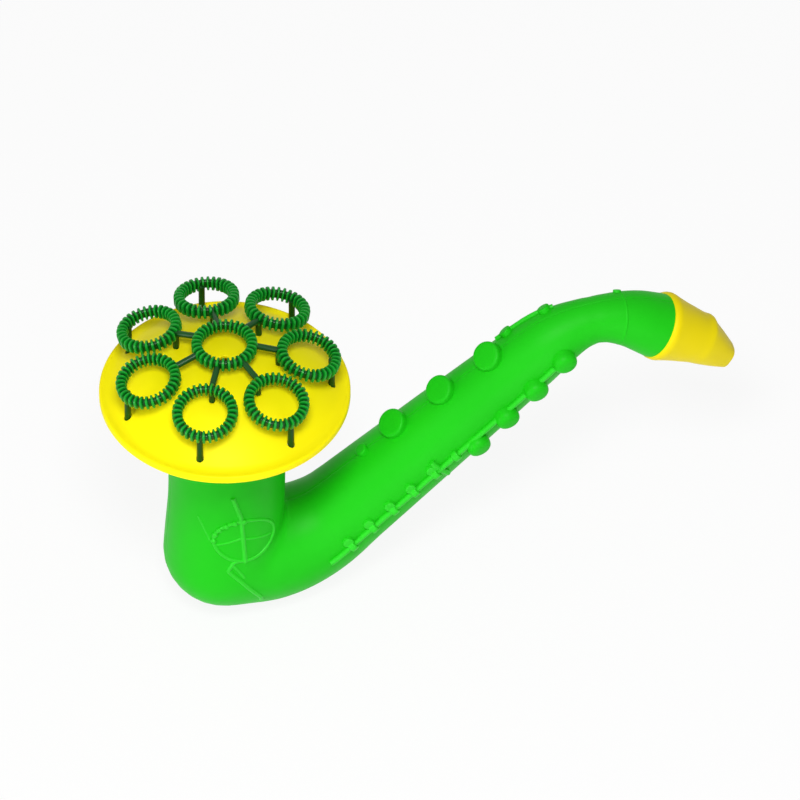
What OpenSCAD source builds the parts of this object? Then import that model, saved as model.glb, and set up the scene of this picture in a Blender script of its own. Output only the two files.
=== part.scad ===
// Saxophone-shaped bubble blower: a hollow horn in two moulded halves, a beak
// mouthpiece, a domed plate pushed into the bell and a head of ribbed bubble rings.
// Origin: centre of the rounded heel, on the bell's axis. +Z runs up the bell,
// +X towards the mouthpiece, and the side with the round bell key faces -Y.

/* [Bell and shell] */
// Outer radius of the bell and of its rounded heel
bell_r = 25; // [22:0.5:30]
// Height of the bell's rim above the heel's centre
bell_h = 86; // [70:1:110]
// Wall thickness of the moulded shell
wall = 1.8; // [1.4:0.1:2.6]

/* [Horn path] */
// Pitch of the horn where it leaves the heel, in degrees
heel_pitch = -22; // [-30:1:-10]
// Bend radius of the bow that turns the horn upwards
bow_bend_r = 47; // [40:1:60]
// Pitch of the straight run, in degrees
tube_pitch = 40.5; // [35:0.5:46]
// Length of the straight run
tube_run = 118; // [110:1:140]
// Bend radius of the neck
neck_bend_r = 36; // [32:1:44]
// Pitch of the neck's end, in degrees
neck_pitch = -33; // [-40:1:-25]
// Straight length at the neck's end
neck_run = 5; // [4:0.5:12]

/* [Horn radii] */
// Outer radius where the horn starts inside the heel
heel_tube_r = 24.2; // [20:0.1:24.4]
// Outer radius at the end of the bow
bow_tube_r = 19.5; // [17:0.1:22]
// Outer radius halfway along the straight run
mid_tube_r = 16.8; // [15:0.1:19]
// Outer radius at the top of the straight run
top_tube_r = 13.7; // [12.5:0.1:15]
// Outer radius at the narrowest part of the neck
neck_r = 10.8; // [9.5:0.1:12]
// Outer radius of the neck's end
neck_end_r = 14; // [13.2:0.1:15]

/* [Keys] */
// Radius of the large round keys on top
top_key_r = 6.2; // [4.5:0.1:7]
// Height of the large round keys
top_key_h = 4; // [2.5:0.1:5]
// Radius of the side key cups
cup_r = 5; // [3.8:0.1:5.6]
// Height of the side key cups
cup_h = 3.8; // [2.5:0.1:4.5]
// Radius of the rod that carries the side keys
rod_r = 1.5; // [1.2:0.1:2]
// Height of the round key's relief on the bell
relief_h = 1; // [0.6:0.1:1.6]
// Radius of the round key on the bell
bell_key_r = 12.5; // [9:0.5:14]

/* [Mouthpiece] */
// Length of the mouthpiece outside the neck
mouth_len = 41; // [36:1:48]
// Radius of its rim
mouth_rim_r = 15.2; // [14.6:0.1:16.5]
// Length of the neck's tenon inside it
tenon_len = 10; // [8:0.5:14]
// Radius of the tenon
tenon_r = 11; // [10:0.1:11.8]
// Radius of the blow hole
blow_hole_r = 2.5; // [2:0.1:2.8]

/* [Plate] */
// Outer radius of the domed plate
plate_r = 52.5; // [48:0.5:60]
// Height of the dome above the brim
dome_h = 18; // [14:0.5:20]
// Width of the flat brim outside the dome
brim_w = 4; // [3:0.5:6]
// Height of the brim above the bell's rim
brim_rise = 6.4; // [5:0.2:10]
// Thickness of the plate
plate_t = 1.8; // [1.4:0.1:2.4]
// Length of the spigot inside the bell
spigot_len = 12; // [8:0.5:20]
// Radius of the air outlet at the top of the dome
outlet_r = 3; // [2.5:0.1:4]

/* [Bubble rings] */
// Outer radius of one ring
ring_r = 13.5; // [12:0.1:14]
// Radial width of a ring
ring_w = 4.3; // [3.6:0.1:5]
// Height of a ring
ring_h = 4.4; // [3.8:0.1:5.4]
// Depth of the grooves between the ribs
groove = 0.8; // [0.5:0.1:1]
// Ribs around one ring
rib_n = 36; // [24:2:40]
// Distance of the outer rings from the bell's axis
ring_pitch_r = 35; // [34:0.5:38]
// Height of the outer rings above the brim
ring_rise = 20; // [19:0.5:26]
// Height of the centre ring above the brim
centre_rise = 26; // [25:0.5:32]
// Outward tilt of the outer rings, in degrees
ring_tilt = 14; // [8:1:18]
// Radius of the legs and spokes
leg_r = 1.35; // [1.1:0.05:1.6]

/* [Fits] */
// Gap between the spigot and the bell, and the tenon and its socket
push_gap = 0.25; // [0.15:0.05:0.4]
// Gap around a leg in its socket, and under a leg that only stands
leg_gap = 0.3; // [0.2:0.05:0.4]

/* [Hidden] */
$fn = 64;
eps = 0.01;
reach = 400;

horn_green = [0.13, 0.8, 0.13];
ring_green = [0.05, 0.42, 0.16];
plate_yellow = [1, 0.93, 0.04];
mouth_yellow = [0.88, 0.78, 0.08];

// Horn path: a bow, a straight run, the neck's bend and a short end
bow_len = bow_bend_r * (tube_pitch - heel_pitch) * PI / 180;
neck_len = neck_bend_r * (tube_pitch - neck_pitch) * PI / 180;
run_start = bow_len;
run_end = run_start + tube_run;
neck_end = run_end + neck_len;
horn_len = neck_end + neck_run;

function heading(p) = [cos(p), sin(p)];
bow_end_pos = bow_bend_r * [sin(tube_pitch) - sin(heel_pitch), cos(heel_pitch) - cos(tube_pitch)];
run_end_pos = bow_end_pos + tube_run * heading(tube_pitch);
neck_end_pos = run_end_pos + neck_bend_r * [sin(tube_pitch) - sin(neck_pitch), cos(neck_pitch) - cos(tube_pitch)];

// Pitch and place of the horn's centre line, by distance along it
function horn_pitch(s) =
    s < run_start ? heel_pitch + (tube_pitch - heel_pitch) * s / bow_len :
    s < run_end ? tube_pitch :
    s < neck_end ? tube_pitch - (tube_pitch - neck_pitch) * (s - run_end) / neck_len :
    neck_pitch;
function horn_pos(s) =
    let (p = horn_pitch(s))
    s < run_start ? bow_bend_r * [sin(p) - sin(heel_pitch), cos(heel_pitch) - cos(p)] :
    s < run_end ? bow_end_pos + (s - run_start) * heading(p) :
    s < neck_end ? run_end_pos + neck_bend_r * [sin(tube_pitch) - sin(p), cos(p) - cos(tube_pitch)] :
    neck_end_pos + (s - neck_end) * heading(p);

// Outer radius along the horn, from its named radii with the corners eased
taper_ease = 7;
radii = [
    [0, heel_tube_r], [bow_len * 0.35, heel_tube_r], [run_start, bow_tube_r],
    [(run_start + run_end) / 2, mid_tube_r], [run_end, top_tube_r],
    [(run_end + neck_end) / 2, neck_r], [horn_len, neck_end_r]
];
function horn_r(s) = (
    lookup(s - taper_ease, radii) + 2 * lookup(s, radii) + lookup(s + taper_ease, radii)) / 4;

// Stations of the swept sections, closer together in the bends
bow_steps = 8;
run_steps = 10;
neck_steps = 10;
function stations(first, last) = concat(
    [for (i = [0 : bow_steps - 1]) first + (run_start - first) * i / bow_steps],
    [for (i = [0 : run_steps - 1]) run_start + tube_run * i / run_steps],
    [for (i = [0 : neck_steps]) run_end + neck_len * i / neck_steps],
    [last]);

// One solid swept along the horn, its sections smaller than the outside by inset
horn_sides = 32;
module horn_sweep(inset, last) {
    at = stations(inset, last);
    rings = len(at);
    points = [
        for (s = at)
        let (c = horn_pos(s), p = horn_pitch(s), r = horn_r(s) - inset)
        for (k = [0 : horn_sides - 1])
        let (a = 360 * k / horn_sides)
        [c[0] - r * cos(a) * sin(p), -r * sin(a), c[1] + r * cos(a) * cos(p)]
    ];
    function at_ring(i, k) = i * horn_sides + k % horn_sides;
    sides = [
        for (i = [0 : rings - 2], k = [0 : horn_sides - 1], half = [0, 1])
        half == 0 ?
        [at_ring(i, k), at_ring(i + 1, k + 1), at_ring(i, k + 1)] :
        [at_ring(i, k), at_ring(i + 1, k), at_ring(i + 1, k + 1)]
    ];
    first_cap = [[for (k = [0 : horn_sides - 1]) k]];
    last_cap = [[for (k = [horn_sides - 1 : -1 : 0]) at_ring(rings - 1, k)]];
    polyhedron(points, concat(first_cap, sides, last_cap), convexity = 6);
}

// Places its children on the horn: +Z outwards, +X along the horn, turned from
// the top line towards the near side by the given angle
module on_horn(s, around, r) {
    c = horn_pos(s);
    translate([c[0], 0, c[1]])
        rotate([0, -horn_pitch(s), 0])
            rotate([around, 0, 0])
                translate([0, 0, r])
                    children();
}

// Bell with its rounded heel, as one turned solid that can be grown or shrunk
module bell_solid(grow, top) {
    r = bell_r + grow;
    rotate_extrude()
        intersection() {
            union() {
                circle(r = r);
                translate([-r, 0])
                    square([2 * r, top]);
            }
            translate([0, -r])
                square([r, r + top]);
        }
}

// Round key: a low drum with a crowned top, sunk into the surface below
key_sink = 3;
crown_h = 1;
module round_key(r, h) {
    crown_r = (r * r + crown_h * crown_h) / (2 * crown_h);
    rotate_extrude()
        intersection() {
            translate([0, -key_sink])
                square([r, key_sink + h]);
            translate([0, h - crown_r])
                circle(r = crown_r, $fn = 128);
        }
}

// Keys on the top line and the small ones near the neck, by distance along the horn
top_key_first = run_start + 48.2;
top_key_gap = 25.5;
small_key_r = 2.8;
small_key_h = 2;
small_key_before = 18;
end_key_before = 8.5;
end_key_after = 8;
module top_keys() {
    for (i = [0 : 2])
        let (s = top_key_first + i * top_key_gap)
            on_horn(s, 0, horn_r(s))
                round_key(top_key_r, top_key_h);
    for (s = [top_key_first - small_key_before, run_end - end_key_before, run_end + end_key_after])
        on_horn(s, 0, horn_r(s))
            round_key(small_key_r, small_key_h);
}

// Side keys: a rod with collars and a row of round cups at its upper end
side_angle = 95;
cup_last = run_end + 6.6;
cup_gap = 17.7;
collar_first = run_start + 0.7;
collar_gap = 12;
rod_start = run_start - 5.3;
collar_r = 2.4;
collar_w = 3;
module side_keys() {
    rise = horn_r(run_start) - horn_r(run_end);
    lean = atan(rise / tube_run);
    on_horn(run_start, side_angle, horn_r(run_start) + rod_r / 2)
        rotate([0, 90 + lean, 0]) {
            translate([0, 0, rod_start - run_start])
                cylinder(r = rod_r, h = run_end - rod_start);
            for (i = [0 : 5])
                translate([0, 0, collar_first + i * collar_gap - run_start])
                    cylinder(r = collar_r, h = collar_w, center = true);
        }
    for (i = [0 : 3])
        let (s = cup_last - i * cup_gap)
            on_horn(s, side_angle, horn_r(s))
                round_key(cup_r, cup_h);
}

// Raised band round the neck
band_at = neck_end - 11.5;
band_w = 1.8;
band_h = 0.5;
module neck_band() {
    on_horn(band_at, 0, 0)
        rotate([0, 90, 0])
            cylinder(r = horn_r(band_at) + band_h, h = band_w, center = true);
}

// Round key with its bars and lever, in relief on the near side of the bell
bell_key_z = 25;
bell_key_x = 3.5;
bar_w = 2.2;
lever_drop = 24;
module bell_key_outline() {
    difference() {
        circle(r = bell_key_r);
        circle(r = bell_key_r - bar_w);
    }
    square([2 * bell_key_r, bar_w], center = true);
    rotate(8)
        translate([-bar_w / 2, -bell_key_r])
            square([bar_w, 3 * bell_key_r]);
    translate([-bell_key_r / 2, -bell_key_r])
        rotate(38)
            translate([-bar_w / 2, -lever_drop])
                square([bar_w, lever_drop]);
}
module bell_relief() {
    intersection() {
        bell_solid(relief_h, bell_h);
        translate([bell_key_x, 0, bell_key_z])
            rotate([90, 0, 0])
                linear_extrude(2 * bell_r)
                    bell_key_outline();
    }
}

// Neck's end: a shoulder with a hollow tenon for the mouthpiece
shoulder_t = 2.5;
tenon_wall = 1.6;
module at_neck_end() {
    c = horn_pos(horn_len);
    translate([c[0], 0, c[1]])
        rotate([0, 90 - neck_pitch, 0])
            children();
}

// Whole shell before it is split: outside less inside
module horn_outside() {
    bell_solid(0, bell_h);
    horn_sweep(0, horn_len);
    at_neck_end()
        translate([0, 0, -shoulder_t])
            cylinder(r = tenon_r, h = shoulder_t + tenon_len);
    top_keys();
    neck_band();
}
module horn_inside() {
    bell_solid(-wall, bell_h + eps);
    horn_sweep(wall, horn_len - shoulder_t);
    at_neck_end()
        translate([0, 0, -2 * shoulder_t])
            cylinder(r = tenon_r - tenon_wall, h = 2 * shoulder_t + tenon_len + eps);
}

// Half-space on one side of the parting plane: -1 is the near side, 1 the far side
module half_space(side) {
    translate([-reach / 2, side < 0 ? -reach / 2 : 0, -reach / 2])
        cube([reach, reach / 2, reach]);
}

module body_half_near() {
    color(horn_green)
        difference() {
            intersection() {
                union() {
                    horn_outside();
                    side_keys();
                    bell_relief();
                }
                half_space(-1);
            }
            horn_inside();
        }
}

module body_half_far() {
    color(horn_green)
        difference() {
            intersection() {
                union() {
                    horn_outside();
                    mirror([0, 1, 0])
                        side_keys();
                }
                half_space(1);
            }
            horn_inside();
        }
}

// Beak mouthpiece, drawn along +Z from the neck's shoulder with its top towards -X
rim_w = 4;
rim_edge = 0.7;
shank_wall = 2.95;
shank_r = tenon_r + push_gap + shank_wall;
shank_end_r = 10.9;
shank_len = 22;
step_r = 11.8;
step_w = 3;
tip_r = 4.6;
tip_half_w = 0.4;
tip_drop = 3.4;
tip_w = 1;
socket_end_gap = 0.5;
module mouth_outline() {
    polygon([
        [0, 0], [mouth_rim_r - rim_edge, 0], [mouth_rim_r, rim_edge],
        [mouth_rim_r, rim_w - rim_edge], [shank_r, rim_w + rim_edge],
        [shank_end_r, shank_len], [0, shank_len]
    ]);
}
module mouthpiece() {
    socket_r = tenon_r + push_gap;
    socket_h = tenon_len + socket_end_gap;
    throat_h = mouth_len / 2;
    color(mouth_yellow)
        at_neck_end()
            difference() {
                union() {
                    rotate_extrude()
                        mouth_outline();
                    hull() {
                        translate([0, 0, shank_len - eps])
                            cylinder(r = step_r, h = step_w, $fn = 48);
                        for (side = [-1, 1])
                            translate([tip_drop, side * tip_half_w, mouth_len - tip_w])
                                cylinder(r = tip_r, h = tip_w, $fn = 32);
                    }
                }
                translate([0, 0, -eps])
                    cylinder(r = socket_r, h = socket_h + eps);
                translate([tip_drop, 0, socket_h - eps])
                    cylinder(r1 = socket_r - tenon_wall - tip_drop, r2 = blow_hole_r, h = throat_h - socket_h);
                translate([tip_drop, 0, throat_h - 2 * eps])
                    cylinder(r = blow_hole_r, h = mouth_len);
            }
}

// Plate: dome, brim, collar and spigot turned in one, with sockets for the outer legs
brim_z = bell_h + brim_rise;
dome_base_r = plate_r - brim_w;
dome_r = (dome_base_r * dome_base_r + dome_h * dome_h) / (2 * dome_h);
function dome_z(r) = brim_z + dome_h - dome_r + sqrt(dome_r * dome_r - r * r);
spigot_r = bell_r - wall - push_gap;
lip_h = 1;
lip_w = 1.6;
module dome_profile() {
    difference() {
        translate([0, brim_z + dome_h - dome_r])
            difference() {
                circle(r = dome_r, $fn = 256);
                circle(r = dome_r - plate_t, $fn = 256);
            }
        translate([-2 * dome_r, brim_z - 2 * dome_r - plate_t])
            square([4 * dome_r, 2 * dome_r]);
        translate([-2 * dome_r, -dome_r])
            square([2 * dome_r, 4 * dome_r]);
        square([outlet_r, 2 * brim_z]);
    }
}
module bell_plate() {
    color(plate_yellow)
        difference() {
            rotate_extrude() {
                dome_profile();
                translate([dome_base_r - plate_t, brim_z - plate_t])
                    square([brim_w + plate_t, plate_t]);
                translate([plate_r - lip_w, brim_z - eps])
                    square([lip_w, lip_h]);
                translate([spigot_r - plate_t, bell_h - spigot_len])
                    square([plate_t, dome_z(spigot_r) - bell_h + spigot_len - plate_t / 2]);
                translate([spigot_r - plate_t / 2, bell_h])
                    square([bell_r - spigot_r + plate_t / 2, brim_rise]);
            }
            for (i = [0 : outer_rings - 1])
                rotate(ring_angle(i))
                    outer_leg(leg_gap);
        }
}

// Bubble rings: a rounded core with ribs wrapped round it
outer_rings = 7;
ring_phase = -117.5;
ring_mid_r = ring_r - ring_w / 2;
inner_leg_shift = 0.85;
outer_leg_shift = 1.05;
inner_leg_at = ring_pitch_r - ring_mid_r - inner_leg_shift;
outer_leg_at = ring_pitch_r + ring_mid_r - outer_leg_shift;
socket_inset = 3.2;
socket_at = dome_base_r - socket_inset;
foot_len = 4;
stub_out = 1.1;
stub_r = ring_r + stub_out;
round_share = 0.29;
function ring_angle(i) = ring_phase + i * 360 / outer_rings;

module ring_section(inset) {
    w = ring_w - 2 * inset;
    h = ring_h - 2 * inset;
    c = round_share * min(w, h);
    translate([ring_mid_r, 0])
        polygon([
            [-w / 2 + c, -h / 2], [w / 2 - c, -h / 2], [w / 2, -h / 2 + c], [w / 2, h / 2 - c],
            [w / 2 - c, h / 2], [-w / 2 + c, h / 2], [-w / 2, h / 2 - c], [-w / 2, -h / 2 + c]
        ]);
}
module ribbed_ring() {
    rib_step = 360 / rib_n;
    rotate_extrude()
        ring_section(groove);
    for (k = [0 : rib_n - 1])
        rotate((k - 0.25) * rib_step)
            rotate_extrude(angle = rib_step / 2)
                ring_section(0);
}

// Spoke between the centre ring's stub and an outer ring, both cut square at stub_r
module spoke_bar(from, to) {
    drop = centre_rise - ring_rise - ring_mid_r * sin(ring_tilt);
    inner = ring_mid_r;
    outer = ring_pitch_r - ring_mid_r * cos(ring_tilt);
    lean = atan(drop / (outer - inner));
    intersection() {
        translate([inner, 0, brim_z + centre_rise])
            rotate([0, 90 + lean, 0])
                cylinder(r = leg_r, h = norm([outer - inner, drop]));
        translate([from, -ring_h, brim_z])
            cube([to - from, 2 * ring_h, 2 * centre_rise]);
    }
}

module ring_centre() {
    color(ring_green) {
        translate([0, 0, brim_z + centre_rise])
            rotate(ring_phase)
                ribbed_ring();
        for (i = [0 : outer_rings - 1])
            rotate(ring_angle(i))
                spoke_bar(ring_mid_r, stub_r);
    }
}

// Outer leg, from under its ring to below the dome, or its socket when grown by a gap
module outer_leg(grow) {
    top_z = brim_z + ring_rise - (outer_leg_at - ring_pitch_r) * tan(ring_tilt);
    foot_z = dome_z(socket_at) - foot_len;
    rise = [outer_leg_at - socket_at, top_z - foot_z];
    translate([socket_at, 0, foot_z])
        rotate([0, atan2(rise[0], rise[1]), 0])
            cylinder(r = leg_r + grow, h = norm(rise));
}

// Outer ring with its spoke, the leg that stands on the dome and the leg in its socket
module outer_ring(i) {
    inner_z = ring_rise + (ring_pitch_r - inner_leg_at) * tan(ring_tilt);
    inner_foot = dome_z(inner_leg_at - leg_r) + leg_gap;
    color(ring_green)
        rotate(ring_angle(i)) {
            translate([ring_pitch_r, 0, brim_z + ring_rise])
                rotate([0, ring_tilt, 0])
                    ribbed_ring();
            spoke_bar(stub_r, ring_pitch_r);
            translate([inner_leg_at, 0, inner_foot])
                cylinder(r = leg_r, h = brim_z + inner_z - inner_foot);
            outer_leg(0);
        }
}
module ring_1() { outer_ring(0); }
module ring_2() { outer_ring(1); }
module ring_3() { outer_ring(2); }
module ring_4() { outer_ring(3); }
module ring_5() { outer_ring(4); }
module ring_6() { outer_ring(5); }
module ring_7() { outer_ring(6); }

body_half_near();
body_half_far();
mouthpiece();
bell_plate();
ring_centre();
ring_1();
ring_2();
ring_3();
ring_4();
ring_5();
ring_6();
ring_7();
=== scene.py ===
import math

import bmesh
import bpy
import numpy as np
from mathutils import Matrix, Vector


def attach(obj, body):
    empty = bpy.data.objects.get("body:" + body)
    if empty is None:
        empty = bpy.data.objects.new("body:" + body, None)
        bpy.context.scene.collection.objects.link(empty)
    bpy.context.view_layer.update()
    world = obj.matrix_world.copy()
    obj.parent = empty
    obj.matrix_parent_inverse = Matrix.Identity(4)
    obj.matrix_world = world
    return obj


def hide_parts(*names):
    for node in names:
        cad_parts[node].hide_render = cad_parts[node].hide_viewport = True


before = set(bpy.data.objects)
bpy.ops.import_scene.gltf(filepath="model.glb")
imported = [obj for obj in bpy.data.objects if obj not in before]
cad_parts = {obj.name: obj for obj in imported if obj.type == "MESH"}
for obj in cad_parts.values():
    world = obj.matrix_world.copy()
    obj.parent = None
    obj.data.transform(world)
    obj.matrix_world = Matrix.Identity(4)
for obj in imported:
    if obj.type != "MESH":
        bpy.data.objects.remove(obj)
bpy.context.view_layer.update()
scene = bpy.context.scene
mm = 0.001  # sizes below are in millimetres, and the scene is in metres


# Small helpers for meshes

def newPiece(name, points, faces, material=None, edges=()):
    mesh = bpy.data.meshes.new(name)
    mesh.from_pydata((np.asarray(points, float) * mm).tolist(), edges, faces)
    piece = bpy.data.objects.new(name, mesh)
    scene.collection.objects.link(piece)
    if material is not None:
        mesh.materials.append(material)
    return piece


def faceOutwards(piece):
    work = bmesh.new()
    work.from_mesh(piece.data)
    bmesh.ops.recalc_face_normals(work, faces=work.faces)
    work.to_mesh(piece.data)
    work.free()


def gridFaces(rows, columns, closeRows=True, closeColumns=True):
    faces = []
    for i in range(rows if closeRows else rows - 1):
        for j in range(columns if closeColumns else columns - 1):
            below, beside = (i + 1) % rows, (j + 1) % columns
            faces.append((i * columns + j, i * columns + beside,
                          below * columns + beside, below * columns + j))
    return faces


def settle(piece):  # the evaluated mesh takes the place of the modifiers
    graph = bpy.context.evaluated_depsgraph_get()
    mesh = bpy.data.meshes.new_from_object(piece.evaluated_get(graph))
    piece.modifiers.clear()
    old = piece.data
    piece.data = mesh
    bpy.data.meshes.remove(old)
    mesh.name = piece.name


def combine(piece, tool, how):
    step = piece.modifiers.new("combine", "BOOLEAN")
    step.operation = how
    step.solver = "MANIFOLD"
    step.object = tool
    settle(piece)
    bpy.data.objects.remove(tool)


def smoothShade(piece, degrees):
    piece.data.shade_smooth()
    piece.data.set_sharp_from_angle(angle=math.radians(degrees))


def roundedLine(corners, steps=4):  # corners are (r, z, fillet radius) round a closed outline
    line = []
    for k, (r, z, fillet) in enumerate(corners):
        here = np.array((r, z), float)
        if fillet == 0:
            line.append(here)
            continue
        before = np.array(corners[k - 1][:2], float) - here
        after = np.array(corners[(k + 1) % len(corners)][:2], float) - here
        a, b = before / np.linalg.norm(before), after / np.linalg.norm(after)
        half = math.acos(np.clip(a @ b, -1, 1)) / 2
        back = fillet / math.tan(half)
        centre = here + (a + b) / np.linalg.norm(a + b) * fillet / math.sin(half)
        start, end = here + a * back - centre, here + b * back - centre
        for t in np.linspace(0, 1, steps + 1):
            spoke = start * (1 - t) + end * t
            line.append(centre + spoke / np.linalg.norm(spoke) * fillet)
    return np.array(line)


# Geometry Nodes helpers: each tree has named inputs that a modifier sets by identifier

def newTree(name, inputs):
    tree = bpy.data.node_groups.new(name, "GeometryNodeTree")
    tree.is_modifier = True
    tree.interface.new_socket("Geometry", in_out="INPUT", socket_type="NodeSocketGeometry")
    tree.interface.new_socket("Geometry", in_out="OUTPUT", socket_type="NodeSocketGeometry")
    for label, kind in inputs:
        tree.interface.new_socket(label, in_out="INPUT", socket_type="NodeSocket" + kind)
    return tree, tree.nodes.new("NodeGroupInput"), tree.nodes.new("NodeGroupOutput")


def addNode(tree, kind, feeds=None, **options):
    node = tree.nodes.new(kind)
    for option, value in options.items():
        setattr(node, option, value)
    for socket, value in (feeds or {}).items():
        if isinstance(value, bpy.types.NodeSocket):
            tree.links.new(value, node.inputs[socket])
        else:
            node.inputs[socket].default_value = value
    return node


def sums(tree, operation, a, b=0.0):
    return addNode(tree, "ShaderNodeMath", {0: a, 1: b}, operation=operation).outputs[0]


def grow(piece, tree, **values):  # runs a tree on a piece and keeps the plain mesh
    step = piece.modifiers.new(tree.name, "NODES")
    step.node_group = tree
    for item in tree.interface.items_tree:
        if item.in_out == "INPUT" and item.name in values:
            step[item.identifier] = values[item.name]
    settle(piece)
    return piece


def seed(name, points, **marks):  # bare points that a tree builds on, with their marks
    piece = newPiece(name, points, [])
    for mark, rows in marks.items():
        layer = piece.data.attributes.new(mark, "FLOAT_VECTOR", "POINT")
        layer.data.foreach_set("vector", np.asarray(rows, np.float32).ravel())
    return piece


def finishTree(tree, given, made, last):  # instances made real, smooth and painted
    real = addNode(tree, "GeometryNodeRealizeInstances", {"Geometry": last.outputs[0]})
    smooth = addNode(tree, "GeometryNodeSetShadeSmooth", {"Geometry": real.outputs[0]})
    painted = addNode(tree, "GeometryNodeSetMaterial", {
        "Geometry": smooth.outputs[0], "Material": given.outputs["Material"]})
    tree.links.new(painted.outputs[0], made.inputs[0])


def drumTree():  # soft moulded drums, one on each point, facing "out" and sized by "size"
    tree, given, made = newTree("moulded drums", [("Softness", "Float"), ("Material", "Material")])
    ball = addNode(tree, "GeometryNodeMeshUVSphere", {"Segments": 40, "Rings": 22, "Radius": 1.0})
    place = addNode(tree, "GeometryNodeInputPosition").outputs[0]
    axes = addNode(tree, "ShaderNodeSeparateXYZ", {0: place}).outputs
    flat = addNode(tree, "ShaderNodeCombineXYZ", {0: axes[0], 1: axes[1]}).outputs[0]
    spread = addNode(tree, "ShaderNodeVectorMath", {0: flat}, operation="LENGTH").outputs["Value"]
    spread = sums(tree, "MAXIMUM", spread, 1e-5)
    stretch = sums(tree, "POWER", spread, sums(tree, "SUBTRACT", given.outputs["Softness"], 1.0))
    height = sums(tree, "POWER", sums(tree, "ABSOLUTE", axes[2]), given.outputs["Softness"])
    height = sums(tree, "MULTIPLY", height, sums(tree, "SIGN", axes[2]))
    drum = addNode(tree, "ShaderNodeCombineXYZ", {
        0: sums(tree, "MULTIPLY", axes[0], stretch),
        1: sums(tree, "MULTIPLY", axes[1], stretch), 2: height}).outputs[0]
    shaped = addNode(tree, "GeometryNodeSetPosition", {"Geometry": ball.outputs[0], "Position": drum})
    out = addNode(tree, "GeometryNodeInputNamedAttribute", {"Name": "out"}, data_type="FLOAT_VECTOR")
    size = addNode(tree, "GeometryNodeInputNamedAttribute", {"Name": "size"}, data_type="FLOAT_VECTOR")
    turn = addNode(tree, "FunctionNodeAlignRotationToVector", {"Vector": out.outputs[0]}, axis="Z")
    spots = addNode(tree, "GeometryNodeInstanceOnPoints", {
        "Points": given.outputs["Geometry"], "Instance": shaped.outputs[0],
        "Rotation": turn.outputs[0], "Scale": size.outputs[0]})
    finishTree(tree, given, made, spots)
    return tree


def barTree():  # round moulded bars along the edges of a line
    tree, given, made = newTree("moulded bars", [("Radius", "Float"), ("Sides", "Int"),
                                                 ("Material", "Material")])
    line = addNode(tree, "GeometryNodeMeshToCurve", {"Mesh": given.outputs["Geometry"]})
    ring = addNode(tree, "GeometryNodeCurvePrimitiveCircle", {
        "Resolution": given.outputs["Sides"], "Radius": given.outputs["Radius"]})
    swept = addNode(tree, "GeometryNodeCurveToMesh", {
        "Curve": line.outputs[0], "Profile Curve": ring.outputs[0], "Fill Caps": True})
    finishTree(tree, given, made, swept)
    return tree


def ringTree():  # ribbed bubble rings, one on each point, facing "out"
    tree, given, made = newTree("ribbed rings", [
        ("Radius", "Float"), ("Width", "Float"), ("Height", "Float"), ("Corner", "Float"),
        ("Ribs", "Int"), ("Steps", "Int"), ("Groove", "Float"), ("Sharpness", "Float"),
        ("Material", "Material")])
    ask = given.outputs
    circle = addNode(tree, "GeometryNodeCurvePrimitiveCircle", {
        "Resolution": sums(tree, "MULTIPLY", ask["Ribs"], ask["Steps"]), "Radius": ask["Radius"]})
    outline = addNode(tree, "GeometryNodeCurvePrimitiveQuadrilateral", {
        "Width": ask["Width"], "Height": ask["Height"]})
    outline = addNode(tree, "GeometryNodeFilletCurve", {
        "Curve": outline.outputs[0], "Radius": ask["Corner"], "Count": 5}, mode="POLY")
    core = addNode(tree, "GeometryNodeCurveToMesh", {
        "Curve": circle.outputs[0], "Profile Curve": outline.outputs[0]})
    place = addNode(tree, "GeometryNodeInputPosition").outputs[0]
    axes = addNode(tree, "ShaderNodeSeparateXYZ", {0: place}).outputs
    turn = sums(tree, "MULTIPLY", sums(tree, "ARCTAN2", axes[1], axes[0]), ask["Ribs"])
    wave = sums(tree, "MULTIPLY", sums(tree, "COSINE", turn), ask["Sharpness"])
    wave = addNode(tree, "ShaderNodeMath", {0: wave, 1: 0.5}, operation="ADD", use_clamp=True).outputs[0]
    sink = sums(tree, "MULTIPLY", sums(tree, "MULTIPLY", wave, ask["Groove"]), -1.0)
    outwards = addNode(tree, "GeometryNodeInputNormal").outputs[0]
    shift = addNode(tree, "ShaderNodeVectorMath", {0: outwards, "Scale": sink}, operation="SCALE")
    # crest is 1 on a rib crest and 0 deep in a groove; the ring plastic uses it to paint shade in the grooves
    # and a highlight on the crests
    crest = sums(tree, "SUBTRACT", 1.0, wave)
    marked = addNode(tree, "GeometryNodeStoreNamedAttribute", {
        "Geometry": core.outputs[0], "Name": "crest", "Value": crest}, data_type="FLOAT")
    ribbed = addNode(tree, "GeometryNodeSetPosition", {
        "Geometry": marked.outputs[0], "Offset": shift.outputs[0]})
    out = addNode(tree, "GeometryNodeInputNamedAttribute", {"Name": "out"}, data_type="FLOAT_VECTOR")
    lean = addNode(tree, "FunctionNodeAlignRotationToVector", {"Vector": out.outputs[0]}, axis="Z")
    spots = addNode(tree, "GeometryNodeInstanceOnPoints", {
        "Points": ask["Geometry"], "Instance": ribbed.outputs[0], "Rotation": lean.outputs[0]})
    finishTree(tree, given, made, spots)
    return tree


drums, bars, rings = drumTree(), barTree(), ringTree()
print("node trees built:", drums.name, bars.name, rings.name)


# Moulded plastics: colour drift, flow marks in the gloss and a fine skin

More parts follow.
